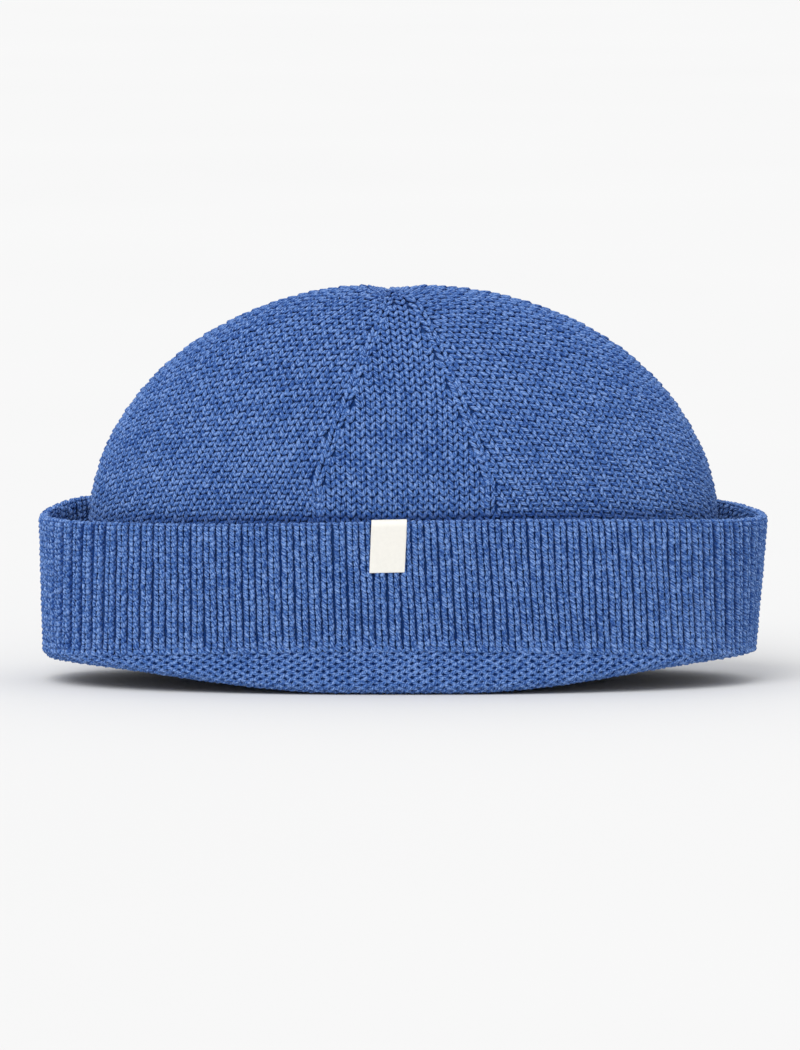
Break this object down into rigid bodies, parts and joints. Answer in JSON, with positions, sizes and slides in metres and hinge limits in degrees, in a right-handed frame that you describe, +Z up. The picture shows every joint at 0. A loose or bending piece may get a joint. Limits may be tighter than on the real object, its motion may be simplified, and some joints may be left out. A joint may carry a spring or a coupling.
{
  "type": "fisherman beanie",
  "caption": "Short blue knitted fisherman beanie with a gored dome, a turned-up ribbed cuff and a small bare label.",
  "frame": {"origin": "on the surface it rests on, under the middle of the hat", "axes": "+Z up, -Y towards the front with the label, +X towards the hat's left side, which is on the right in a front view"},
  "size_m": [0.22, 0.0961, 0.1189],
  "materials": {
    "crown_knit": "matt wool stockinette",
    "turned_knit": "matt wool, purl side out",
    "cuff_knit": "matt wool rib",
    "label_tape": "matt woven cotton tape"
  },
  "bodies": {
    "root": {"crown": "crown_knit", "turn_band": "turned_knit", "cuff": "cuff_knit", "label": "label_tape"}
  },
  "joints": []
}
